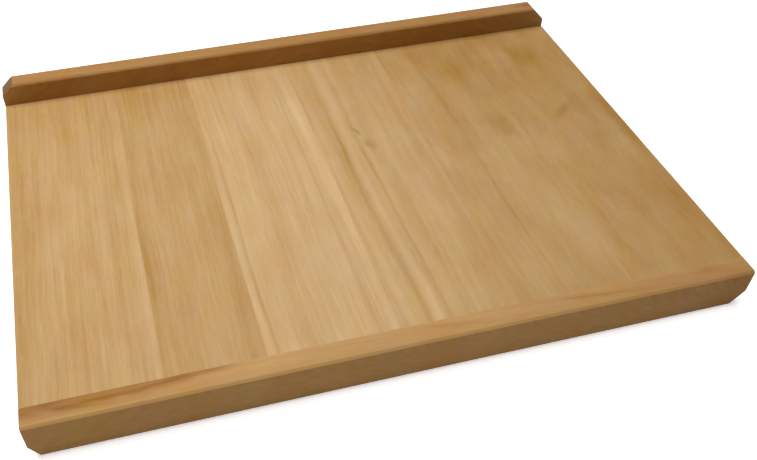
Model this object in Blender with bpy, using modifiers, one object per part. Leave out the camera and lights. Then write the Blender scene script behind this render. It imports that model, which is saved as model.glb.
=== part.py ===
"""Two-sided wooden pastry board.

Edge-glued planks make the panel, their grain running front to back. A rail closes the plank ends at
the front and at the back, each held by blind glued dowels. The front rail is flush with the panel's
top and hangs below it, so that it hooks over the edge of a worktop. The rear rail is flush with the
panel's underside and stands above it as a backstop. Turned over, the two rails change places.

Metres. X runs along the rails to the right, Y to the back and Z up. The origin is the middle of the
panel's underside, which lies on the worktop.
"""

import math

import bmesh
import bpy
from mathutils import Matrix, Vector

# Panel
BOARD_WIDTH = 0.700  # along the rails
BOARD_DEPTH = 0.500  # outer face of the front rail to outer face of the rear rail
PLANK_PROPORTIONS = (1.255, 0.920, 1.255, 1.200, 1.160, 1.210)  # how the planks share the width
PANEL_THICKNESS = 0.018
PANEL_EDGE_RADIUS = 0.001  # rounding of the panel's left and right edges
PANEL_EDGE_SEGMENTS = 3
GLUE_LINE = 0.0001  # between two glued faces

# Rails
RAIL_DEPTH = 0.022
RAIL_HEIGHT = 0.045
ARRIS_CHAMFER = 0.0025  # planed on the three long edges away from the panel

# Corners sawn off the free edge of each rail: length along the rail, length down its end
FRONT_LEFT_CORNER = (0.0095, 0.0170)
FRONT_RIGHT_CORNER = (0.0140, 0.0180)
REAR_LEFT_CORNER = (0.0150, 0.0140)
REAR_RIGHT_CORNER = (0.0175, 0.0175)

# Dowels
DOWEL_DIAMETER = 0.008
DOWEL_LENGTH = 0.030
DOWEL_IN_RAIL = 0.0135  # from the middle of the glue line
DOWEL_FROM_EDGE = 0.022  # plank's long edge to the axis of the dowel nearest to it
DOWEL_CHAMFER = 0.0008
DOWEL_FLUTES = 8
FLUTE_DEPTH = 0.0003
DOWEL_CLEARANCE = 0.0001  # round the dowel
GLUE_POCKET = 0.0005  # past each end of a dowel

# Finish, in linear colours
PLANK_COLOUR = (0.60, 0.37, 0.16)
PLANK_TONES = (1.00, 0.92, 1.08, 1.02, 0.95, 0.90)  # lightness of each plank, left to right
RAIL_COLOUR = (0.47, 0.25, 0.10)
DOWEL_COLOUR = (0.66, 0.45, 0.25)
WOOD_ROUGHNESS = 0.6

PLANK_LENGTH = BOARD_DEPTH - 2 * RAIL_DEPTH - 2 * GLUE_LINE
HOLE_LENGTH = DOWEL_LENGTH + 2 * GLUE_POCKET
FRONT = -1
REAR = 1
UNIT_PARALLEL = 0.999  # least cosine between an edge and the axis that it runs along
BEVEL_WEIGHT = "bevel_weight_edge"


def clear_scene():
    for item in list(bpy.data.objects):
        bpy.data.objects.remove(item)


def new_collection(name):
    collection = bpy.data.collections.new(name)
    bpy.context.scene.collection.children.link(collection)
    return collection


def wood(name, colour, tone=1.0):
    material = bpy.data.materials.new(name)
    material.use_nodes = True
    shader = material.node_tree.nodes["Principled BSDF"]
    shader.inputs["Base Color"].default_value = (*(tone * channel for channel in colour), 1.0)
    shader.inputs["Roughness"].default_value = WOOD_ROUGHNESS
    shader.inputs["Metallic"].default_value = 0.0
    return material


def new_object(name, mesh, collection, location, parent):
    piece = bpy.data.objects.new(name, mesh)
    collection.objects.link(piece)
    piece.location = location
    piece.parent = parent
    return piece


def mesh_from(bm, name, material=None):
    mesh = bpy.data.meshes.new(name)
    bm.to_mesh(mesh)
    bm.free()
    if material:
        mesh.materials.append(material)
    return mesh


def box(size):
    bm = bmesh.new()
    bm.edges.layers.float.new(BEVEL_WEIGHT)
    bmesh.ops.create_cube(bm, size=1.0)
    bmesh.ops.scale(bm, vec=size, verts=bm.verts)
    return bm


def edges_along(bm, axis):
    """The edges that run along one axis, 0 for X to 2 for Z."""
    found = []
    for edge in bm.edges:
        direction = (edge.verts[1].co - edge.verts[0].co).normalized()
        if abs(direction[axis]) > UNIT_PARALLEL:
            found.append(edge)
    return found


def mark_for_bevel(bm, edges):
    weight = bm.edges.layers.float[BEVEL_WEIGHT]
    for edge in edges:
        edge[weight] = 1.0


def add_bevel(piece, width, segments=1):
    """Chamfers the marked edges, or rounds them where there are more segments."""
    bevel = piece.modifiers.new("eased_edges", "BEVEL")
    bevel.limit_method = "WEIGHT"
    bevel.width = width
    bevel.segments = segments


def add_dowel_holes(piece, holes):
    cut = piece.modifiers.new("dowel_holes", "BOOLEAN")
    cut.operation = "DIFFERENCE"
    cut.solver = "EXACT"
    cut.object = holes


def plank_spans():
    """(left, right) of each plank's share of the board's width."""
    spans = []
    left = -BOARD_WIDTH / 2
    for proportion in PLANK_PROPORTIONS:
        right = left + BOARD_WIDTH * proportion / sum(PLANK_PROPORTIONS)
        spans.append((left, right))
        left = right
    return spans


def dowel_places():
    """The X of each dowel axis, left to right: one near either long edge of each plank."""
    places = []
    for left, right in plank_spans():
        places += [left + DOWEL_FROM_EDGE, right - DOWEL_FROM_EDGE]
    return places


def dowel_middle(end):
    """The Y of the middle of the dowels, and of their holes, at the front or rear end."""
    glue_line = (PLANK_LENGTH + GLUE_LINE) / 2
    return end * (glue_line + DOWEL_IN_RAIL - DOWEL_LENGTH / 2)


def dowel_bar(bm, radius, length):
    """A bar along Y, centred, with two facets to a flute so that dowels and holes line up."""
    made = bmesh.ops.create_cone(
        bm,
        cap_ends=True,
        segments=2 * DOWEL_FLUTES,
        radius1=radius,
        radius2=radius,
        depth=length,
    )
    bmesh.ops.rotate(bm, verts=made["verts"], matrix=Matrix.Rotation(math.pi / 2, 3, "X"))
    return made["verts"]


def make_dowel_holes(collection, parent):
    """One cutter for every blind hole: each bar reaches into a rail and into a plank end."""
    bm = bmesh.new()
    for end in (FRONT, REAR):
        for x in dowel_places():
            verts = dowel_bar(bm, DOWEL_DIAMETER / 2 + DOWEL_CLEARANCE, HOLE_LENGTH)
            bmesh.ops.translate(bm, verts=verts, vec=(x, dowel_middle(end), PANEL_THICKNESS / 2))
    holes = new_object("dowel_holes", mesh_from(bm, "dowel_holes"), collection, (0, 0, 0), parent)
    holes.hide_render = True
    holes.display_type = "WIRE"
    return holes


def make_planks(collection, parent, holes):
    for number, ((left, right), tone) in enumerate(zip(plank_spans(), PLANK_TONES), start=1):
        name = f"plank_{number}"
        middle = (left + right) / 2
        bm = box((right - left - GLUE_LINE, PLANK_LENGTH, PANEL_THICKNESS))
        half_panel = BOARD_WIDTH / 2 - GLUE_LINE
        outer_edges = [e for e in edges_along(bm, 1) if abs(middle + e.verts[0].co.x) > half_panel]
        mark_for_bevel(bm, outer_edges)
        mesh = mesh_from(bm, name, wood(f"{name}_wood", PLANK_COLOUR, tone))
        plank = new_object(name, mesh, collection, (middle, 0, PANEL_THICKNESS / 2), parent)
        if outer_edges:
            add_bevel(plank, PANEL_EDGE_RADIUS, PANEL_EDGE_SEGMENTS)
        add_dowel_holes(plank, holes)


def saw_corner(bm, end, free, corner):
    """Saws one corner off a rail's free edge. end is the X side, free the Z side of that edge."""
    along, down = corner
    on_edge = Vector((end * (BOARD_WIDTH / 2 - along), 0, free * RAIL_HEIGHT / 2))
    outwards = Vector((end * down, 0, free * along)).normalized()
    cut = bmesh.ops.bisect_plane(
        bm,
        geom=bm.verts[:] + bm.edges[:] + bm.faces[:],
        plane_co=on_edge,
        plane_no=outwards,
        clear_outer=True,
    )
    rim = [item for item in cut["geom_cut"] if isinstance(item, bmesh.types.BMEdge)]
    bmesh.ops.contextual_create(bm, geom=rim)


def split_inner_face(bm, end):
    """Parts the bare strip of a rail's inner face from the strip that the plank ends are glued to."""
    inner = [face for face in bm.faces if face.normal.y * end < -UNIT_PARALLEL]
    edges = {edge for face in inner for edge in face.edges}
    verts = {vert for face in inner for vert in face.verts}
    glued_to = Vector((0, 0, end * (PANEL_THICKNESS - RAIL_HEIGHT / 2)))
    bmesh.ops.bisect_plane(
        bm, geom=[*verts, *edges, *inner], plane_co=glued_to, plane_no=(0, 0, 1)
    )


def make_rail(name, end, corners, collection, parent, holes):
    """A rail at the front or rear end. Its outer side and its free edge face the same way."""
    bm = box((BOARD_WIDTH, RAIL_DEPTH, RAIL_HEIGHT))
    for side, corner in zip((-1, 1), corners):
        saw_corner(bm, side, end, corner)
    bmesh.ops.recalc_face_normals(bm, faces=bm.faces)
    glued_edge = Vector((-end * RAIL_DEPTH / 2, -end * RAIL_HEIGHT / 2))
    exposed = [
        edge
        for edge in edges_along(bm, 0)
        if (edge.verts[0].co.yz - glued_edge).length > RAIL_DEPTH / 2
    ]
    mark_for_bevel(bm, exposed)
    split_inner_face(bm, end)
    flush = PANEL_THICKNESS if end == FRONT else 0.0
    middle = (0, end * (BOARD_DEPTH - RAIL_DEPTH) / 2, flush + end * RAIL_HEIGHT / 2)
    mesh = mesh_from(bm, name, wood(f"{name}_wood", RAIL_COLOUR))
    rail = new_object(name, mesh, collection, middle, parent)
    add_bevel(rail, ARRIS_CHAMFER)
    add_dowel_holes(rail, holes)


def dowel_mesh():
    bm = bmesh.new()
    verts = dowel_bar(bm, DOWEL_DIAMETER / 2, DOWEL_LENGTH - 2 * DOWEL_CHAMFER)
    for vert in verts:
        facet = round(math.atan2(vert.co.z, vert.co.x) / (math.pi / DOWEL_FLUTES))
        if facet % 2:
            across = Vector((vert.co.x, 0, vert.co.z))
            vert.co -= across.normalized() * FLUTE_DEPTH
    caps = [face for face in bm.faces if len(face.verts) == 2 * DOWEL_FLUTES]
    bmesh.ops.inset_individual(bm, faces=caps, thickness=DOWEL_CHAMFER, depth=DOWEL_CHAMFER)
    return mesh_from(bm, "dowel", wood("dowel_wood", DOWEL_COLOUR))


def make_dowels(collection, parent):
    mesh = dowel_mesh()
    for end, place in ((FRONT, "front"), (REAR, "rear")):
        for number, x in enumerate(dowel_places(), start=1):
            where = (x, dowel_middle(end), PANEL_THICKNESS / 2)
            new_object(f"{place}_dowel_{number:02d}", mesh, collection, where, parent)


def main():
    clear_scene()
    parts = new_collection("pastry_board")
    cutters = new_collection("cutters")
    board = new_object("pastry_board_origin", None, parts, (0, 0, 0), None)
    holes = make_dowel_holes(cutters, board)
    make_planks(parts, board, holes)
    make_rail("front_rail", FRONT, (FRONT_LEFT_CORNER, FRONT_RIGHT_CORNER), parts, board, holes)
    make_rail("rear_rail", REAR, (REAR_LEFT_CORNER, REAR_RIGHT_CORNER), parts, board, holes)
    make_dowels(parts, board)


if __name__ == "__main__":
    main()
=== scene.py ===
"""Looks of a two-sided wooden pastry board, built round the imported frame.

The planks and the rails are modelled again with eased edges and drilled ends, the dowels keep the
frame's own solids, and all of them get a wood grain that runs right through the piece. Metres, in the
frame's axes: X along the rails, Y to the back, Z up.
"""

import math
from typing import NamedTuple

import bmesh
import bpy
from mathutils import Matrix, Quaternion, Vector


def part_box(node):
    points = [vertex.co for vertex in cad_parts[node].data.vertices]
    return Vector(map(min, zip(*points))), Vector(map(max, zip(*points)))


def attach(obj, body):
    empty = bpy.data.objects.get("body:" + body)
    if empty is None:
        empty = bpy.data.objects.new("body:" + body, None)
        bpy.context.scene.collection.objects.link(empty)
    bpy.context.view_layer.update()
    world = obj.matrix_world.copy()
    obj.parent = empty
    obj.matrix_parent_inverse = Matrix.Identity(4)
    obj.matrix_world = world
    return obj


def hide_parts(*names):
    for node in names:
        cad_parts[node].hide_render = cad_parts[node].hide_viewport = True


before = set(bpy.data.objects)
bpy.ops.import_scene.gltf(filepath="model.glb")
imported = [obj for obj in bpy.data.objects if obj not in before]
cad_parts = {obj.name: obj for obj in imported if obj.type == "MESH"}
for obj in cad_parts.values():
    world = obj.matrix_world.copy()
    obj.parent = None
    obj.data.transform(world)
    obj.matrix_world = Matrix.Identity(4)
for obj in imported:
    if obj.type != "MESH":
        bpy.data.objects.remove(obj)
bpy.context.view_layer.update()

bl_info = {
    "name": "Pastry board",
    "version": (1, 0, 0),
    "blender": (4, 5, 0),
    "location": "View3D > Sidebar > Pastry board",
    "description": "Models and finishes a two-sided wooden pastry board",
    "category": "Object",
}

BODY = "root"
PLANKS = sorted(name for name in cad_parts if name.startswith("plank_"))
RAILS = ("front_rail", "rear_rail")
DOWELS = sorted(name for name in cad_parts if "_dowel_" in name)
PANEL_LOW, PANEL_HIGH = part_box(PLANKS[0])[0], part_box(PLANKS[-1])[1]
LEFT_EDGE = PANEL_LOW.x
REAR_FOOT = PANEL_HIGH.y
ON_LINE = 1e-5  # how near a corner lies to a line to count as on it
SHARP = math.radians(25)  # least turn across an edge that counts as sharp
ROUND = 0.5  # bevel profile of a true rounding
EDGE_SEGMENTS = 6  # flats that round a panel edge
SANDED_SEGMENTS = 3  # flats that round a sanded rail edge
DRILL_SIDES = 32


class Figure(NamedTuple):
    """The character of one plank's wood."""

    depth: float  # from the pale colour, 0, to the deep one, 1
    stripes: float  # strength of the fine growth stripes
    bands: float  # strength of the broad growth bands
    clouds: float  # strength of the mottling
    run: float  # how far the grain runs to the right over a metre towards the front
    wander: float  # most that a growth line strays sideways, both ways together


class GrowthLine(NamedTuple):
    """One plain growth line or band in a plank, all along it or round one place only."""

    place: float  # from the board's left edge, halfway along the plank
    half_width: float
    depth: float  # deeper than the wood round it, or paler if negative
    from_rear: float = 0.0  # where it is strongest, from the rear rail's foot
    half_length: float = 0.0  # how far it reaches from there, or 0 if it runs all along


class Mark(NamedTuple):
    """A curl, smudge or soft patch in a piece, or a patch of painted shade."""

    place: float  # from the board's left edge
    off: float  # from the rear rail's foot in a plank, outwards from the glued face in a rail
    half_x: float
    half_y: float
    turn: float  # degrees
    depth: float  # deeper than the wood round it, or paler if negative
    soft: float = 1.0  # share of it, from its rim inwards, over which it fades


class RailFigure(NamedTuple):
    """The character of one rail's wood."""

    depth: float  # at the glued face, from the pale colour, 0, to the deep one, 1
    outwards: float  # change of depth to the outer face
    stripes: float
    bands: float
    crown: float  # place, from the left edge, where the growth lines come nearest the panel
    level: float  # painted shade: how much deeper the faces that lie level are painted
    upright: float  # painted shade: how much deeper the long upright faces are painted
    arris_highlight: float  # painted highlight: how much paler the planed arrises are painted


FIGURES = {
    "plank_1": Figure(0.66, 0.33, 0.10, 0.14, -0.010, 0.003),
    "plank_2": Figure(0.70, 0.27, 0.12, 0.16, -0.010, 0.003),
    "plank_3": Figure(0.36, 0.30, 0.22, 0.16, 0.008, 0.004),
    "plank_4": Figure(0.52, 0.13, 0.26, 0.20, 0.010, 0.006),
    "plank_5": Figure(0.70, 0.11, 0.15, 0.22, 0.010, 0.009),
    "plank_6": Figure(0.74, 0.08, 0.14, 0.28, 0.006, 0.012),
}

GROWTH_LINES = {
    "plank_1": (
        GrowthLine(0.0080, 0.016, 0.16),
        GrowthLine(0.0470, 0.0025, -0.09),
        GrowthLine(0.0520, 0.003, 0.08),
        GrowthLine(0.0900, 0.022, -0.12),
        GrowthLine(0.0950, 0.002, -0.08),
        GrowthLine(0.1050, 0.0035, 0.16, 0.060, 0.110),
        GrowthLine(0.1235, 0.0080, -0.26),
    ),
    "plank_2": (
        GrowthLine(0.1249, 0.0045, -0.40, 0.050, 0.300),
        GrowthLine(0.1290, 0.005, 0.12),
        GrowthLine(0.1300, 0.006, 0.12, 0.340, 0.090),
        GrowthLine(0.1660, 0.008, -0.10),
        GrowthLine(0.1840, 0.008, -0.08),
        GrowthLine(0.2100, 0.008, 0.10),
    ),
    "plank_3": (
        GrowthLine(0.2188, 0.0034, 0.72, 0.040, 0.220),
        GrowthLine(0.2195, 0.004, -0.14),
        GrowthLine(0.2265, 0.003, 0.26),
        GrowthLine(0.2265, 0.005, 0.16, 0.420, 0.130),
        GrowthLine(0.2620, 0.004, 0.10),
        GrowthLine(0.2850, 0.014, -0.10),
        GrowthLine(0.3220, 0.003, 0.20),
        GrowthLine(0.3380, 0.010, -0.24),
    ),
    "plank_4": (
        GrowthLine(0.3462, 0.0035, 0.14),
        GrowthLine(0.3520, 0.012, -0.16),
        GrowthLine(0.3695, 0.0035, 0.34, 0.180, 0.080),
        GrowthLine(0.3680, 0.0050, 0.20),
        GrowthLine(0.3785, 0.0080, -0.30),
        GrowthLine(0.3900, 0.0035, 0.24),
        GrowthLine(0.3910, 0.0045, 0.14, 0.230, 0.070),
        GrowthLine(0.4080, 0.003, 0.08),
        GrowthLine(0.4150, 0.0022, 0.10, 0.400, 0.170),
        GrowthLine(0.4350, 0.0025, 0.10, 0.400, 0.160),
        GrowthLine(0.4460, 0.022, 0.16, 0.420, 0.140),
        GrowthLine(0.4500, 0.006, 0.18, 0.170, 0.120),
        GrowthLine(0.4580, 0.003, -0.18, 0.130, 0.140),
        GrowthLine(0.4605, 0.005, 0.16, 0.400, 0.190),
    ),
    "plank_5": (
        GrowthLine(0.4690, 0.010, -0.14, 0.080, 0.200),
        GrowthLine(0.4660, 0.007, 0.08, 0.420, 0.160),
        GrowthLine(0.4770, 0.0025, 0.10, 0.420, 0.120),
        GrowthLine(0.5070, 0.010, 0.06),
        GrowthLine(0.5090, 0.003, 0.14),
        GrowthLine(0.5130, 0.009, 0.16, 0.120, 0.120),
    ),
    "plank_6": (
        GrowthLine(0.6000, 0.006, 0.06, 0.350, 0.150),
        GrowthLine(0.6950, 0.018, 0.10),
        GrowthLine(0.7000, 0.090, 0.16),
    ),
}

RAIL_FIGURES = {
    "front_rail": RailFigure(0.22, 0.16, 0.16, 0.20, 0.230, 0.0, 0.06, 0.23),
    "rear_rail": RailFigure(0.56, 0.08, 0.22, 0.22, 0.420, 0.14, 0.0, 0.0),
}

# Painted shade: broad darker patches on the right-hand planks, at the rear and along the front, that
# cross their seams
REAR_RIGHT_PAINTED_SHADE = Mark(0.6000, 0.080, 0.200, 0.200, 0, 0.22)
FRONT_RIGHT_PAINTED_SHADE = Mark(0.5700, 0.456, 0.180, 0.060, 0, 0.16)

MARKS = {
    "plank_1": (
        Mark(0.0640, 0.214, 0.022, 0.070, 0, -0.28),
        Mark(0.0200, 0.224, 0.014, 0.060, 0, 0.20),
    ),
    "plank_4": (
        Mark(0.3500, 0.417, 0.010, 0.070, 0, -0.26),
        Mark(0.3905, 0.161, 0.0045, 0.014, -14, 0.56),
        Mark(0.3990, 0.185, 0.0100, 0.017, -14, 0.46),
        REAR_RIGHT_PAINTED_SHADE,
        FRONT_RIGHT_PAINTED_SHADE,
    ),
    "plank_5": (
        Mark(0.4720, 0.221, 0.012, 0.050, 0, -0.24),
        Mark(0.5640, 0.206, 0.014, 0.034, 0, 0.26),
        Mark(0.5560, 0.190, 0.025, 0.034, -12, 0.20),
        Mark(0.5440, 0.066, 0.036, 0.042, 0, 0.13),
        Mark(0.5450, 0.180, 0.034, 0.028, 0, 0.10),
        Mark(0.5560, 0.120, 0.034, 0.130, 0, 0.12),
        REAR_RIGHT_PAINTED_SHADE,
        FRONT_RIGHT_PAINTED_SHADE,
    ),
    "plank_6": (
        Mark(0.6930, 0.210, 0.014, 0.110, 0, 0.28),
        Mark(0.6400, 0.184, 0.036, 0.010, -42, 0.30),
        Mark(0.6440, 0.062, 0.034, 0.036, -30, 0.22),
        Mark(0.6070, 0.050, 0.032, 0.060, 0, -0.24),
        Mark(0.6400, 0.360, 0.100, 0.200, 0, 0.14),
        REAR_RIGHT_PAINTED_SHADE,
        FRONT_RIGHT_PAINTED_SHADE,
    ),
    "front_rail": (
        Mark(0.0860, -0.003, 0.076, 0.0145, -1.7, 0.66, 0.30),
        Mark(0.0380, 0.0088, 0.034, 0.0044, 7.5, 0.48),
        Mark(0.1500, 0.0015, 0.034, 0.0064, -4, 0.62),
        Mark(0.1740, 0.0010, 0.026, 0.0066, 0, 0.48),
        Mark(0.0230, 0.0035, 0.022, 0.0075, 12, 0.44),
        Mark(0.0000, 0.0030, 0.032, 0.0150, 0, 0.68, 0.90),
        Mark(0.1300, 0.0070, 0.044, 0.0065, -4, 0.40),
        Mark(0.0450, 0.0115, 0.105, 0.0088, 0, 0.44),
        Mark(0.2150, 0.0100, 0.060, 0.0200, 0, -0.12),
        Mark(0.3920, 0.0085, 0.056, 0.0034, 7.8, 0.20),
        Mark(0.5320, 0.0090, 0.068, 0.0036, 5.7, 0.22),
        Mark(0.6550, 0.0060, 0.024, 0.0065, 10, 0.20),
        Mark(0.7000, 0.012, 0.320, 0.040, 0, 0.34),
        Mark(0.7000, 0.034, 0.080, 0.020, 0, 0.40),
    ),
    "rear_rail": (Mark(0.6840, 0.0110, 0.032, 0.0075, 0, 0.45),),
}

# Scale of the grain: waves per metre across the grain and along it
STRIPE_WAVES = (300.0, 9.0)
BAND_WAVES = (70.0, 4.0)
CLOUD_WAVES = (26.0, 12.0)
FIBRE_WAVES = (1500.0, 60.0)
WANDER_WAVES = (9.0, 5.0)
RAGGED_WAVES = (70.0, 50.0)
TINT_WAVES = (40.0, 22.0)
RAIL_STRIPE_WAVES = (420.0, 4.0)
RAIL_BAND_WAVES = (110.0, 2.5)
RAIL_WANDER_WAVES = (9.0, 6.0)
DOWEL_STRIPE_WAVES = (700.0, 18.0)
DOWEL_FLECK_WAVES = (1600.0, 300.0)
PLANK_THROUGH = 0.3  # waves through a plank's thickness, as a share of those across its grain
RAIL_THROUGH = 0.2  # waves from a rail's front to its back, as the same share

# Noise
NOISE_LOW, NOISE_HIGH = 0.3, 0.7  # where nearly all values of the noise texture lie
RICH_DETAIL = 3.0  # finer layers in the noise of stripes, mottling and ragged rims
STRIPE_ROUGHNESS = 0.6  # strength of each finer layer of the stripes against the last

# Strength and reach of the grain
FIBRES = 0.18
RAGGED = 0.005  # most that the rim of a mark strays, both ways together
REAR_PAINTED_SHADE = 0.18  # painted shade: how much deeper the panel is painted near the rear rail's foot, for the rail's shade and warm bounce
REAR_SHADE_REACH = 0.120  # how far that painted shade reaches from the rail's foot
HUE_MIDDLE = 0.5  # leaves the hue as it is
HUE_SHIFT = 0.009  # most that the hue strays, both ways together
SATURATION_SHIFT = 0.07  # most that the saturation strays, both ways together
SATURATION_FALL = 0.03  # loss of saturation over a metre to the right
TINTS_APART = 0.5  # how far apart the patterns of hue and of saturation are taken
REAR_SHOWN = 0.35  # share of the growth lines that shows at the rear rail's foot
SHOWN_REACH = 0.150  # from there to where they show in full
RING_SLANT = 0.35  # lean of the growth rings through a plank's thickness
RING_DISTANCE = 0.080  # from a rail's glued face to the heart of its growth rings
RAIL_WANDER = 0.003  # most that a rail's growth lines stray, both ways together
RAIL_RAGGED = 0.0015  # most that the rim of a rail's mark strays, both ways together
FACE_FIGURE = 0.2  # share of a rail's stripes and bands that shows on its outer face
RAIL_BOW = 0.12  # slope of the bowed growth lines far from their crown
RAIL_BOW_REACH = 0.150  # length over which they bow
END_DEPTH = 0.38  # how much deeper sawn end grain is, partly its own tone and partly painted shade
END_GRAIN_AND_SHADE = 0.54  # how much darker it is painted besides: end grain's own darkness and painted shade on the sawn faces
END_RISE = 2.0  # so steep that the slant of a sawn corner counts as end grain too
LEVEL_PAINTED_DESATURATION = 0.05  # painted light: how much less saturated a rail's level faces are painted than its upright ones, which warm bounce light reddens
RAIL_SATURATION = 0.02  # how much more saturated the rails are than the panel
DOWEL_DEPTH = 0.35  # from the pale colour, 0, to the deep one, 1
DOWEL_STRIPES = 0.4
DOWEL_FLECKS = 0.35
SEED_STEP = 3.7  # shifts the pattern from one piece to the next

# Surface of the wood
ROUGHNESS = 0.58
ROUGHNESS_STRAY = 0.12  # most that it strays with the relief, both ways together
STRIPE_RELIEF = 0.6  # relief of the stripes against that of the fibres
BUMP_STRENGTH = 0.12
BUMP_HEIGHT = 0.0003
WOOD_SHEEN = 0.15
DOWEL_SHEEN = 0.25


class BoardSizes(bpy.types.PropertyGroup):
    """Sizes of what is shaped here and isn't read from the frame."""

    arris_chamfer: bpy.props.FloatProperty(
        name="Arris chamfer",
        description="Chamfer planed on the long rail edges away from the panel",
        default=0.0025,
        min=0.0005,
        unit="LENGTH",
        precision=4,
    )
    edge_radius: bpy.props.FloatProperty(
        name="Panel edge radius",
        description="Rounding of the panel's left and right edges",
        default=0.001,
        min=0.0001,
        unit="LENGTH",
        precision=4,
    )
    seam_ease: bpy.props.FloatProperty(
        name="Seam ease",
        description="Chamfer along the glued long edges of the planks",
        default=0.00005,
        min=0.00001,
        unit="LENGTH",
        precision=5,
    )
    front_sanded_radius: bpy.props.FloatProperty(
        name="Front sanded radius",
        description="Rounding that sanding leaves on the planed and sawn edges of the front rail",
        default=0.0005,
        min=0.0001,
        unit="LENGTH",
        precision=4,
    )
    rear_sanded_radius: bpy.props.FloatProperty(
        name="Rear sanded radius",
        description="Rounding that sanding leaves on the planed and sawn edges of the rear rail",
        default=0.0012,
        min=0.0001,
        unit="LENGTH",
        precision=4,
    )
    front_left_cut: bpy.props.FloatVectorProperty(
        name="Front left corner",
        description="Corner sawn off the front rail's left end: along the rail, up its end",
        size=2,
        default=(0.0095, 0.0170),
        unit="LENGTH",
        precision=4,
    )
    front_right_cut: bpy.props.FloatVectorProperty(
        name="Front right corner",
        description="Corner sawn off the front rail's right end: along the rail, up its end",
        size=2,
        default=(0.0140, 0.0180),
        unit="LENGTH",
        precision=4,
    )
    rear_left_cut: bpy.props.FloatVectorProperty(
        name="Rear left corner",
        description="Corner sawn off the rear rail's left end: along the rail, down its end",
        size=2,
        default=(0.0150, 0.0140),
        unit="LENGTH",
        precision=4,
    )
    rear_right_cut: bpy.props.FloatVectorProperty(
        name="Rear right corner",
        description="Corner sawn off the rear rail's right end: along the rail, down its end",
        size=2,
        default=(0.0175, 0.0175),
        unit="LENGTH",
        precision=4,
    )
    hole_clearance: bpy.props.FloatProperty(
        name="Hole clearance",
        description="Room round each dowel in its hole",
        default=0.0001,
        min=0.00005,
        unit="LENGTH",
        precision=5,
    )
    glue_pocket: bpy.props.FloatProperty(
        name="Glue pocket",
        description="Room past each end of a dowel",
        default=0.0005,
        min=0.0001,
        unit="LENGTH",
        precision=4,
    )


class BoardColours(bpy.types.PropertyGroup):
    """Colours of the woods and of the floor."""

    plank_pale: bpy.props.FloatVectorProperty(
        name="Plank, pale wood",
        description="Pale wood of the panel, at depth 0",
        subtype="COLOR",
        size=3,
        default=(0.72, 0.48, 0.245),
    )
    plank_deep: bpy.props.FloatVectorProperty(
        name="Plank, deep wood",
        description="Deep wood of the panel, at depth 1",
        subtype="COLOR",
        size=3,
        default=(0.47, 0.265, 0.085),
    )
    rail_pale: bpy.props.FloatVectorProperty(
        name="Rail, pale wood",
        description="Pale wood of the rails, at depth 0",
        subtype="COLOR",
        size=3,
        default=(0.62, 0.358, 0.130),
    )
    rail_deep: bpy.props.FloatVectorProperty(
        name="Rail, deep wood",
        description="Deep wood of the rails, at depth 1",
        subtype="COLOR",
        size=3,
        default=(0.36, 0.158, 0.030),
    )
    dowel_pale: bpy.props.FloatVectorProperty(
        name="Dowel, pale wood",
        description="Pale wood of the dowels, at depth 0",
        subtype="COLOR",
        size=3,
        default=(0.70, 0.48, 0.27),
    )
    dowel_deep: bpy.props.FloatVectorProperty(
        name="Dowel, deep wood",
        description="Deep wood of the dowels, at depth 1",
        subtype="COLOR",
        size=3,
        default=(0.45, 0.26, 0.12),
    )
    floor: bpy.props.FloatVectorProperty(
        name="Floor",
        description="The pale floor",
        subtype="COLOR",
        size=3,
        default=(0.92, 0.92, 0.92),
    )


# Shaping


def on_line(value, line):
    return abs(value - line) < ON_LINE


def deselect_all():
    if bpy.context.object and bpy.context.object.mode != "OBJECT":
        bpy.ops.object.mode_set(mode="OBJECT")
    bpy.ops.object.select_all(action="DESELECT")


def add_block(name, low, high):
    """A block from corner to corner, with its place in its mesh."""
    deselect_all()
    bpy.ops.mesh.primitive_cube_add(size=1.0, location=(low + high) / 2, scale=high - low)
    bpy.ops.object.transform_apply(location=True, rotation=True, scale=True)
    block = bpy.context.object
    block.name = name
    block.data.name = name
    return block


def select_edges(piece, wanted):
    """Enters edit mode with only the edges selected whose two ends both satisfy wanted."""
    bpy.ops.object.mode_set(mode="EDIT")
    bpy.ops.mesh.select_mode(type="EDGE")
    bpy.ops.mesh.select_all(action="DESELECT")
    bpy.ops.object.mode_set(mode="OBJECT")
    corners = piece.data.vertices
    for edge in piece.data.edges:
        edge.select = all(wanted(corners[index].co) for index in edge.vertices)
    bpy.ops.object.mode_set(mode="EDIT")


def bevel_edges(piece, wanted, size, segments=1):
    """Chamfers the wanted edges, or rounds them if given more segments."""
    select_edges(piece, wanted)
    bpy.ops.mesh.bevel(offset=size, segments=segments, affect="EDGES", profile=ROUND)
    bpy.ops.object.mode_set(mode="OBJECT")


def apply_modifier(piece, kind, **settings):
    modifier = piece.modifiers.new(kind.lower(), kind)
    for name, value in settings.items():
        setattr(modifier, name, value)
    bpy.context.view_layer.objects.active = piece
    bpy.ops.object.modifier_apply(modifier=modifier.name)


def add_drill(sizes):
    """One cutter with a bar for every blind dowel hole."""
    deselect_all()
    bars = []
    for name in DOWELS:
        low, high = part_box(name)
        bpy.ops.mesh.primitive_cylinder_add(
            vertices=DRILL_SIDES,
            radius=(high.x - low.x) / 2 + sizes.hole_clearance,
            depth=high.y - low.y + 2 * sizes.glue_pocket,
            location=(low + high) / 2,
            rotation=(math.pi / 2, 0, 0),
        )
        bars.append(bpy.context.object)
    for bar in bars:
        bar.select_set(True)
    bpy.ops.object.join()
    bpy.ops.object.transform_apply(location=True, rotation=True, scale=True)
    return bpy.context.object


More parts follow.
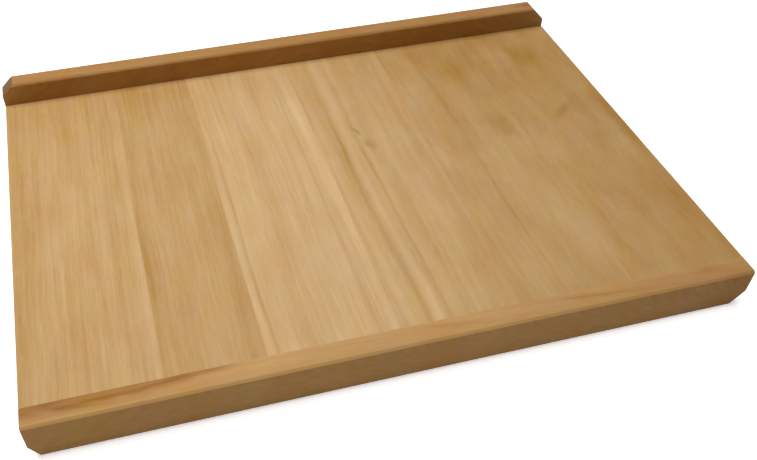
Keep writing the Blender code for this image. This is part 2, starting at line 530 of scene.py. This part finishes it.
def finish_shape(piece, drill):
    """Drills the piece, and shades its rounded edges smooth and its flats flat."""
    apply_modifier(piece, "BOOLEAN", operation="DIFFERENCE", solver="EXACT", object=drill)
    deselect_all()
    piece.select_set(True)
    bpy.context.view_layer.objects.active = piece
    bpy.ops.object.shade_smooth_by_angle(angle=SHARP)
    apply_modifier(piece, "WEIGHTED_NORMAL", keep_sharp=True)


def remove_drill(drill):
    deselect_all()
    drill.select_set(True)
    bpy.ops.object.delete()


def seat(piece, node, material):
    """Puts a finished piece in the place of its frame node."""
    piece.data.materials.clear()
    piece.data.materials.append(material)
    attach(piece, BODY)
    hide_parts(node)


# Grain

# Colour sockets of the mix node, which has several of the same name
MIX_PALE, MIX_DEEP, MIX_RESULT = 6, 7, 2


class Graph:
    """Adds nodes to one material and links them."""

    def __init__(self, name):
        self.material = bpy.data.materials.new(name)
        self.material.use_nodes = True
        self.tree = self.material.node_tree
        self.shader = self.tree.nodes["Principled BSDF"]

    def feed(self, socket, value):
        if isinstance(value, bpy.types.NodeSocket):
            self.tree.links.new(value, socket)
        else:
            socket.default_value = value

    def add(self, kind, inputs, **settings):
        node = self.tree.nodes.new(kind)
        for name, value in settings.items():
            setattr(node, name, value)
        for key, value in inputs.items():
            self.feed(node.inputs[key], value)
        return node

    def math(self, operation, first, second=0.0):
        return self.add("ShaderNodeMath", {0: first, 1: second}, operation=operation).outputs[0]

    def total(self, *terms):
        result = terms[0]
        for term in terms[1:]:
            result = self.math("ADD", result, term)
        return result

    def scaled(self, value, factor):
        return self.math("MULTIPLY", value, factor)

    def object_place(self):
        place = self.add("ShaderNodeTexCoord", {}).outputs["Object"]
        parts = self.add("ShaderNodeSeparateXYZ", {"Vector": place})
        return parts.outputs["X"], parts.outputs["Y"], parts.outputs["Z"]

    def vector(self, x, y, z):
        return self.add("ShaderNodeCombineXYZ", {"X": x, "Y": y, "Z": z}).outputs["Vector"]

    def noise(self, vector, detail=2.0, roughness=0.5):
        """Smooth noise round 0, about 1 from its lowest to its highest."""
        inputs = {"Vector": vector, "Scale": 1.0, "Detail": detail, "Roughness": roughness}
        value = self.add("ShaderNodeTexNoise", inputs, noise_dimensions="3D").outputs["Fac"]
        spread = {
            "Value": value,
            "From Min": NOISE_LOW,
            "From Max": NOISE_HIGH,
            "To Min": -0.5,
            "To Max": 0.5,
        }
        return self.add("ShaderNodeMapRange", spread, clamp=False).outputs["Result"]

    def fade(self, distance, reach, start=0.0):
        """1 up to where distance is start, falling smoothly to 0 at reach."""
        inputs = {"Value": distance, "From Min": start, "From Max": reach, "To Min": 1.0, "To Max": 0.0}
        return self.add("ShaderNodeMapRange", inputs, interpolation_type="SMOOTHSTEP").outputs["Result"]

    def length(self, *parts):
        """Length of a vector given by its parts."""
        vector = self.vector(*parts, *(0.0,) * (3 - len(parts)))
        return self.add("ShaderNodeVectorMath", {0: vector}, operation="LENGTH").outputs["Value"]

    def band(self, value, line):
        """1 on a line across value, falling to 0 at the line's edges."""
        distance = self.math("ABSOLUTE", self.math("SUBTRACT", value, line.place + LEFT_EDGE))
        return self.fade(distance, line.half_width)

    def patch(self, vector, mark):
        """1 in the middle of a mark, falling to 0 at its rim."""
        inputs = {
            "Vector": vector,
            "Location": (mark.place, mark.off, 0.0),
            "Rotation": (0.0, 0.0, math.radians(mark.turn)),
            "Scale": (mark.half_x, mark.half_y, 1.0),
        }
        inside = self.add("ShaderNodeMapping", inputs, vector_type="TEXTURE").outputs["Vector"]
        reach = self.add("ShaderNodeVectorMath", {0: inside}, operation="LENGTH").outputs["Value"]
        return self.fade(reach, 1.0, 1.0 - mark.soft)

    def marked(self, depth, marks, place, off, stray):
        """Adds the marks of a piece, their rims ragged by stray."""
        if marks:
            vector = self.vector(self.math("ADD", place, stray), self.math("SUBTRACT", off, stray), 0.0)
        for mark in marks:
            depth = self.math("ADD", depth, self.scaled(self.patch(vector, mark), mark.depth))
        return depth

    def mix(self, depth, pale, deep):
        """Colour of wood of the given depth, which may lie past the two colours."""
        inputs = {"Factor": depth, MIX_PALE: (*pale, 1.0), MIX_DEEP: (*deep, 1.0)}
        node = self.add("ShaderNodeMix", inputs, data_type="RGBA", clamp_factor=False)
        return node.outputs[MIX_RESULT]


def tinted(graph, colour, x, across, waves, gain=0.0, value=1.0):
    """Lets hue and saturation stray, each in patches of its own, and saturation fall to the right.

    gain is added to the saturation. value scales the brightness.
    """
    turn = graph.scaled(graph.noise(waves(across, TINT_WAVES)), HUE_SHIFT)
    hue = graph.total(turn, HUE_MIDDLE)
    apart = graph.math("ADD", across, TINTS_APART)
    patches = graph.scaled(graph.noise(waves(apart, TINT_WAVES)), SATURATION_SHIFT)
    saturation = graph.total(patches, graph.scaled(x, -SATURATION_FALL), gain, 1.0)
    inputs = {"Hue": hue, "Saturation": saturation, "Value": value, "Color": colour}
    return graph.add("ShaderNodeHueSaturation", inputs).outputs["Color"]


def finish_wood(graph, colour, relief, sheen):
    """Wires colour and fibre relief into the shader of a sanded, bare wood."""
    shader = graph.shader
    graph.feed(shader.inputs["Base Color"], colour)
    roughness = graph.total(graph.scaled(relief, ROUGHNESS_STRAY), ROUGHNESS)
    graph.feed(shader.inputs["Roughness"], roughness)
    shader.inputs["Specular IOR Level"].default_value = sheen
    inputs = {"Height": relief, "Strength": BUMP_STRENGTH, "Distance": BUMP_HEIGHT}
    bump = graph.add("ShaderNodeBump", inputs)
    graph.feed(shader.inputs["Normal"], bump.outputs["Normal"])
    return graph.material


def plank_wood(node, seed, colours):
    """Wood of one plank, its grain along Y."""
    figure = FIGURES[node]
    graph = Graph(f"{node}_wood")
    x, y, z = graph.object_place()
    from_rear = graph.math("SUBTRACT", REAR_FOOT, y)
    shift = seed * SEED_STEP

    def waves(across, counts):
        side = graph.math("ADD", graph.scaled(across, counts[0]), shift)
        through = graph.scaled(z, counts[0] * PLANK_THROUGH)
        return graph.vector(side, graph.scaled(y, counts[1]), through)

    wander = graph.scaled(graph.noise(waves(x, WANDER_WAVES)), figure.wander)
    under_top = graph.math("SUBTRACT", z, PANEL_HIGH.z)
    lean = graph.total(graph.scaled(under_top, RING_SLANT), graph.scaled(y, figure.run))
    across = graph.total(x, wander, lean)

    stripes = graph.noise(waves(across, STRIPE_WAVES), RICH_DETAIL, STRIPE_ROUGHNESS)
    bands = graph.noise(waves(across, BAND_WAVES))
    clouds = graph.noise(waves(x, CLOUD_WAVES), RICH_DETAIL)
    fibres = graph.noise(waves(across, FIBRE_WAVES))
    stray = graph.scaled(graph.noise(waves(x, RAGGED_WAVES), RICH_DETAIL), RAGGED)

    depth = graph.total(
        graph.scaled(stripes, figure.stripes),
        graph.scaled(bands, figure.bands),
        graph.scaled(clouds, figure.clouds),
        graph.scaled(fibres, FIBRES),
        # painted shade of the rear rail near its foot
        graph.scaled(graph.fade(from_rear, REAR_SHADE_REACH), REAR_PAINTED_SHADE),
        figure.depth,
    )
    hidden = graph.scaled(graph.fade(from_rear, SHOWN_REACH), REAR_SHOWN - 1.0)
    shown = graph.math("ADD", hidden, 1.0)
    for line in GROWTH_LINES[node]:
        strength = graph.math("MULTIPLY", graph.scaled(graph.band(across, line), line.depth), shown)
        if line.half_length:
            away = graph.math("ABSOLUTE", graph.math("SUBTRACT", from_rear, line.from_rear))
            strength = graph.math("MULTIPLY", strength, graph.fade(away, line.half_length))
        depth = graph.math("ADD", depth, strength)
    place = graph.math("SUBTRACT", x, LEFT_EDGE)
    depth = graph.marked(depth, MARKS.get(node, ()), place, from_rear, stray)

    colour = tinted(graph, graph.mix(depth, colours.plank_pale, colours.plank_deep), x, x, waves)
    relief = graph.total(fibres, graph.scaled(stripes, STRIPE_RELIEF))
    return finish_wood(graph, colour, relief, WOOD_SHEEN)


def rail_wood(node, seed, colours):
    """Wood of one rail, its grain along X and its rings bowed round a heart on the panel's side."""
    figure = RAIL_FIGURES[node]
    graph = Graph(f"{node}_wood")
    x, y, z = graph.object_place()
    low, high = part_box(node)
    shift = seed * SEED_STEP
    if node == "front_rail":
        out = graph.math("SUBTRACT", high.y, y)
    else:
        out = graph.math("SUBTRACT", y, low.y)
    place = graph.math("SUBTRACT", x, LEFT_EDGE)

    def waves(across, counts):
        side = graph.math("ADD", graph.scaled(across, counts[0]), shift)
        through = graph.scaled(y, counts[0] * RAIL_THROUGH)
        return graph.vector(side, graph.scaled(x, counts[1]), through)

    wander = graph.scaled(graph.noise(waves(y, RAIL_WANDER_WAVES)), RAIL_WANDER)
    under_top = graph.math("SUBTRACT", z, high.z)
    from_heart = graph.length(graph.math("ADD", out, RING_DISTANCE), under_top)
    layer = graph.math("SUBTRACT", from_heart, RING_DISTANCE)
    from_crown = graph.math("SUBTRACT", place, figure.crown)
    bow = graph.math("SUBTRACT", graph.length(from_crown, RAIL_BOW_REACH), RAIL_BOW_REACH)
    ring = graph.total(layer, graph.scaled(bow, -RAIL_BOW), wander)

    stripes = graph.noise(waves(ring, RAIL_STRIPE_WAVES), RICH_DETAIL, STRIPE_ROUGHNESS)
    bands = graph.noise(waves(ring, RAIL_BAND_WAVES))
    fibres = graph.noise(waves(ring, FIBRE_WAVES))
    stray = graph.scaled(graph.noise(waves(ring, RAGGED_WAVES), RICH_DETAIL), RAIL_RAGGED)
    thickness = high.y - low.y
    inner = graph.scaled(graph.fade(out, thickness), 1.0 - FACE_FIGURE)
    shown = graph.math("ADD", inner, FACE_FIGURE)

    # Squares of the normal's parts tell end grain, long upright faces and level faces apart; the tones
    # given by them are partly painted light and shade
    normal = graph.add("ShaderNodeNewGeometry", {}).outputs["Normal"]
    facing = graph.add("ShaderNodeSeparateXYZ", {"Vector": normal}).outputs
    endwise, upright, level = (graph.math("POWER", facing[axis], 2.0) for axis in "XYZ")
    sawn = graph.math("MINIMUM", graph.scaled(endwise, END_RISE), 1.0)
    # 1 halfway between upright and level, as on the planed arrises, where a highlight is painted paler
    slant = graph.scaled(graph.math("SQRT", graph.math("MULTIPLY", upright, level)), 2.0)

    depth = graph.total(
        graph.math("MULTIPLY", graph.scaled(stripes, figure.stripes), shown),
        graph.math("MULTIPLY", graph.scaled(bands, figure.bands), shown),
        graph.scaled(fibres, FIBRES),
        graph.scaled(out, figure.outwards / thickness),
        graph.scaled(sawn, END_DEPTH),
        # painted shade on level and upright faces
        graph.scaled(level, figure.level),
        graph.scaled(upright, figure.upright),
        # painted highlight on the planed arrises
        graph.scaled(slant, -figure.arris_highlight),
        figure.depth,
    )
    depth = graph.marked(depth, MARKS.get(node, ()), place, layer, stray)
    # painted light: level faces less saturated than upright ones
    gain = graph.total(graph.scaled(level, -LEVEL_PAINTED_DESATURATION), RAIL_SATURATION)
    # darker sawn faces: partly end grain's own tone, partly painted shade
    value = graph.total(graph.scaled(sawn, -END_GRAIN_AND_SHADE), 1.0)
    colour = graph.mix(depth, colours.rail_pale, colours.rail_deep)
    colour = tinted(graph, colour, x, y, waves, gain, value)
    relief = graph.total(fibres, graph.scaled(stripes, STRIPE_RELIEF))
    return finish_wood(graph, colour, relief, WOOD_SHEEN)


def dowel_wood(colours):
    """Plain close-grained wood of the dowels, its grain along Y."""
    graph = Graph("dowel_wood")
    x, y, z = graph.object_place()

    def waves(counts):
        across, along = counts
        return graph.vector(graph.scaled(x, across), graph.scaled(y, along), graph.scaled(z, across))

    stripes = graph.noise(waves(DOWEL_STRIPE_WAVES))
    flecks = graph.noise(waves(DOWEL_FLECK_WAVES))
    depth = graph.total(
        graph.scaled(stripes, DOWEL_STRIPES),
        graph.scaled(flecks, DOWEL_FLECKS),
        DOWEL_DEPTH,
    )
    colour = graph.mix(depth, colours.dowel_pale, colours.dowel_deep)
    return finish_wood(graph, colour, graph.total(flecks, stripes), DOWEL_SHEEN)


# Operators


class BOARD_OT_planks(bpy.types.Operator):
    """Models the planks of the panel, eased along their seams and drilled at both ends"""

    bl_idname = "object.board_planks"
    bl_label = "Planks"

    def execute(self, context):
        sizes = context.scene.board_sizes
        drill = add_drill(sizes)
        for seed, node in enumerate(PLANKS):
            low, high = self.glued_up(seed)
            piece = add_block(f"{node}_planed", low, high)
            outer = [x for x in (PANEL_LOW.x, PANEL_HIGH.x) if low.x - ON_LINE < x < high.x + ON_LINE]
            seams = [x for x in (low.x, high.x) if x not in outer]
            for x in seams:
                bevel_edges(piece, lambda co: on_line(co.x, x), sizes.seam_ease)
            for x in outer:
                bevel_edges(piece, lambda co: on_line(co.x, x), sizes.edge_radius, EDGE_SEGMENTS)
            finish_shape(piece, drill)
            seat(piece, node, plank_wood(node, seed, context.scene.board_colours))
        remove_drill(drill)
        return {"FINISHED"}

    def glued_up(self, number):
        """Corners of a plank that closes its glue lines.

        It reaches halfway to the planks beside it, and right up to the rails.
        """
        low, high = (corner.copy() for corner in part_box(PLANKS[number]))
        if number > 0:
            low.x = (low.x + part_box(PLANKS[number - 1])[1].x) / 2
        if number < len(PLANKS) - 1:
            high.x = (high.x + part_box(PLANKS[number + 1])[0].x) / 2
        low.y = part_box("front_rail")[1].y
        high.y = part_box("rear_rail")[0].y
        return low, high


class BOARD_OT_rails(bpy.types.Operator):
    """Models the two rails with planed arrises and sawn corners, and drills them"""

    bl_idname = "object.board_rails"
    bl_label = "Rails"

    def execute(self, context):
        sizes = context.scene.board_sizes
        cuts = {
            "front_rail": (sizes.front_left_cut, sizes.front_right_cut),
            "rear_rail": (sizes.rear_left_cut, sizes.rear_right_cut),
        }
        drill = add_drill(sizes)
        for seed, node in enumerate(RAILS):
            piece = self.rail(node, cuts[node], sizes)
            finish_shape(piece, drill)
            seat(piece, node, rail_wood(node, seed, context.scene.board_colours))
        remove_drill(drill)
        return {"FINISHED"}

    def rail(self, node, cuts, sizes):
        """Planes three arrises of a block, saws its two free corners off and sands it."""
        low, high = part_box(node)
        piece = add_block(f"{node}_shaped", low, high)
        outwards = -1 if node == "front_rail" else 1
        glued_y = high.y if outwards < 0 else low.y
        flush_z = high.z if outwards < 0 else low.z
        free_z = low.z if outwards < 0 else high.z

        def glued_arris(co):
            return on_line(co.y, glued_y) and on_line(co.z, flush_z)

        for y in (low.y, high.y):
            for z in (low.z, high.z):
                if not glued_arris(Vector((0, y, z))):
                    bevel_edges(
                        piece,
                        lambda co: on_line(co.y, y) and on_line(co.z, z),
                        sizes.arris_chamfer,
                    )
        for end_x, side, (along, down) in ((low.x, -1, cuts[0]), (high.x, 1, cuts[1])):
            bpy.ops.object.mode_set(mode="EDIT")
            bpy.ops.mesh.select_all(action="SELECT")
            bpy.ops.mesh.bisect(
                plane_co=(end_x - side * along, 0, free_z),
                plane_no=(side * down, 0, outwards * along),
                use_fill=True,
                clear_outer=True,
            )
            bpy.ops.object.mode_set(mode="OBJECT")
        radius = sizes.front_sanded_radius if node == "front_rail" else sizes.rear_sanded_radius
        self.sand(piece, glued_arris, radius)
        return piece

    def sand(self, piece, glued_arris, radius):
        """Rounds every sharp edge but the one that lies flush with the panel."""
        bpy.ops.object.mode_set(mode="EDIT")
        bpy.ops.mesh.select_mode(type="EDGE")
        bpy.ops.mesh.select_all(action="DESELECT")
        bpy.ops.mesh.edges_select_sharp(sharpness=SHARP)
        for edge in bmesh.from_edit_mesh(piece.data).edges:
            if all(glued_arris(corner.co) for corner in edge.verts):
                edge.select = False
        bpy.ops.mesh.bevel(offset=radius, segments=SANDED_SEGMENTS, affect="EDGES", profile=ROUND)
        bpy.ops.object.mode_set(mode="OBJECT")


class BOARD_OT_dowels(bpy.types.Operator):
    """Gives the dowels, which are the frame's own solids, their wood"""

    bl_idname = "object.board_dowels"
    bl_label = "Dowels"

    def execute(self, context):
        material = dowel_wood(context.scene.board_colours)
        for node in DOWELS:
            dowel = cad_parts[node]
            dowel.data.materials.clear()
            dowel.data.materials.append(material)
        return {"FINISHED"}


# Camera, fitted to the photograph: its width, focal length and lens axis in pixels
PHOTO_WIDTH = 757
FOCAL_PIXELS = 840.92
CAMERA_PLACE = (-0.21446, -0.69104, 0.60569)
CAMERA_DOWN = math.radians(47.834)
CAMERA_RIGHT = math.radians(14.601)
CAMERA_ROLL = math.radians(-0.432)
AXIS_LEFT_OF_MIDDLE = 69.42  # from the picture's middle to the lens axis
AXIS_BELOW_MIDDLE = 73.24  # the same, downwards
SENSOR = 36.0  # millimetres

# Floor and light
FLOOR_SIZE = 8.0
FLOOR_ROUGHNESS = 0.9
FLOOR_GLOW = 0.62  # light of its own that the floor shows where it is seen directly
AMBIENT = 0.04  # strength of the light from all round
SKY_LIGHT = 2.05  # watts per square metre that the broad light above throws
SKY_SPREAD = math.radians(36)
SKY_FROM = (-0.10, 0.11, 0.98)  # direction that it comes from
LAMP_PLACE = (-0.55, 0.12, 1.00)
LAMP_TARGET = (-0.25, 0.05, 0.0)
LAMP_SIZE = 0.4
LAMP_POWER = 3.7


class BOARD_OT_stage(bpy.types.Operator):
    """Sets the floor under the board, the lights, the surroundings and the camera"""

    bl_idname = "object.board_stage"
    bl_label = "Stage"

    def execute(self, context):
        self.floor(context)
        self.light(context)
        self.camera(context)
        context.scene.view_settings.view_transform = "Standard"
        return {"FINISHED"}

    def floor(self, context):
        """The board stands on the lower edges of both rails, so the floor leans with it."""
        chamfer = context.scene.board_sizes.arris_chamfer
        front_low, front_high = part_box("front_rail")
        rear_low, rear_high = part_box("rear_rail")
        touch = Vector((0, front_high.y - chamfer, front_low.z))
        reach = rear_high.y - chamfer - touch.y
        slope = math.atan2(rear_low.z - front_low.z, reach)
        deselect_all()
        bpy.ops.mesh.primitive_plane_add(size=FLOOR_SIZE, location=touch, rotation=(slope, 0, 0))
        floor = context.object
        floor.name = "floor"
        floor.data.materials.append(floor_white(context.scene.board_colours))

    def light(self, context):
        deselect_all()
        aim = (-Vector(SKY_FROM)).to_track_quat("-Z", "Y").to_euler()
        bpy.ops.object.light_add(type="SUN", location=SKY_FROM, rotation=aim)
        sky = context.object
        sky.name = "broad_light"
        sky.data.angle = SKY_SPREAD
        sky.data.energy = SKY_LIGHT
        deselect_all()
        aim = (Vector(LAMP_TARGET) - Vector(LAMP_PLACE)).to_track_quat("-Z", "Y").to_euler()
        bpy.ops.object.light_add(type="AREA", location=LAMP_PLACE, rotation=aim)
        lamp = context.object
        lamp.name = "softbox"
        lamp.data.size = LAMP_SIZE
        lamp.data.energy = LAMP_POWER
        context.scene.world = surroundings()

    def camera(self, context):
        deselect_all()
        bpy.ops.object.camera_add(location=CAMERA_PLACE)
        camera = context.object
        flat = math.cos(CAMERA_DOWN)
        right, ahead = math.sin(CAMERA_RIGHT) * flat, math.cos(CAMERA_RIGHT) * flat
        aim = Vector((right, ahead, -math.sin(CAMERA_DOWN)))
        camera.rotation_mode = "QUATERNION"
        camera.rotation_quaternion = aim.to_track_quat("-Z", "Y") @ Quaternion((0, 0, 1), CAMERA_ROLL)
        camera.data.sensor_width = SENSOR
        camera.data.lens = FOCAL_PIXELS / PHOTO_WIDTH * SENSOR
        camera.data.shift_x = AXIS_LEFT_OF_MIDDLE / PHOTO_WIDTH
        camera.data.shift_y = AXIS_BELOW_MIDDLE / PHOTO_WIDTH
        context.scene.camera = camera


def seen_directly(tree):
    """1 on rays that show the surface itself: from the camera, a reflection or through glass."""
    rays = tree.nodes.new("ShaderNodeLightPath")
    seen = rays.outputs["Is Camera Ray"]
    for name in ("Is Glossy Ray", "Is Transmission Ray"):
        either = tree.nodes.new("ShaderNodeMath")
        either.operation = "MAXIMUM"
        tree.links.new(seen, either.inputs[0])
        tree.links.new(rays.outputs[name], either.inputs[1])
        seen = either.outputs[0]
    return seen


def floor_white(colours):
    """Pale floor that looks white where it is lit and keeps the board's shadow."""
    material = bpy.data.materials.new("floor_white")
    material.use_nodes = True
    tree = material.node_tree
    shader = tree.nodes["Principled BSDF"]
    shader.inputs["Base Color"].default_value = (*colours.floor, 1.0)
    shader.inputs["Roughness"].default_value = FLOOR_ROUGHNESS
    shader.inputs["Specular IOR Level"].default_value = 0.0
    shader.inputs["Emission Color"].default_value = (1, 1, 1, 1)
    glow = tree.nodes.new("ShaderNodeMath")
    glow.operation = "MULTIPLY"
    glow.inputs[1].default_value = FLOOR_GLOW
    tree.links.new(seen_directly(tree), glow.inputs[0])
    tree.links.new(glow.outputs[0], shader.inputs["Emission Strength"])
    return material


def surroundings():
    """Dim even light, which looks white behind the floor."""
    world = bpy.data.worlds.new("surroundings")
    world.use_nodes = True
    tree = world.node_tree
    background = tree.nodes["Background"]
    background.inputs["Color"].default_value = (1, 1, 1, 1)
    strength = tree.nodes.new("ShaderNodeMapRange")
    strength.inputs["To Min"].default_value = AMBIENT
    strength.inputs["To Max"].default_value = 1.0
    tree.links.new(seen_directly(tree), strength.inputs["Value"])
    tree.links.new(strength.outputs["Result"], background.inputs["Strength"])
    return world


class BOARD_PT_panel(bpy.types.Panel):
    """Lists the sizes, the colours and the pieces"""

    bl_idname = "BOARD_PT_panel"
    bl_label = "Pastry board"
    bl_space_type = "VIEW_3D"
    bl_region_type = "UI"
    bl_category = "Pastry board"

    def draw(self, context):
        for group in (context.scene.board_sizes, context.scene.board_colours):
            box = self.layout.box()
            for name in group.__annotations__:
                box.prop(group, name)
        for operator in OPERATORS:
            self.layout.operator(operator.bl_idname)


OPERATORS = (BOARD_OT_stage, BOARD_OT_planks, BOARD_OT_rails, BOARD_OT_dowels)
CLASSES = (BoardSizes, BoardColours, *OPERATORS, BOARD_PT_panel)


def register():
    for cls in CLASSES:
        bpy.utils.register_class(cls)
    bpy.types.Scene.board_sizes = bpy.props.PointerProperty(type=BoardSizes)
    bpy.types.Scene.board_colours = bpy.props.PointerProperty(type=BoardColours)


def unregister():
    del bpy.types.Scene.board_colours
    del bpy.types.Scene.board_sizes
    for cls in reversed(CLASSES):
        bpy.utils.unregister_class(cls)


def main():
    register()
    bpy.ops.object.board_stage()
    bpy.ops.object.board_planks()
    bpy.ops.object.board_rails()
    bpy.ops.object.board_dowels()


if __name__ == "__main__":
    main()
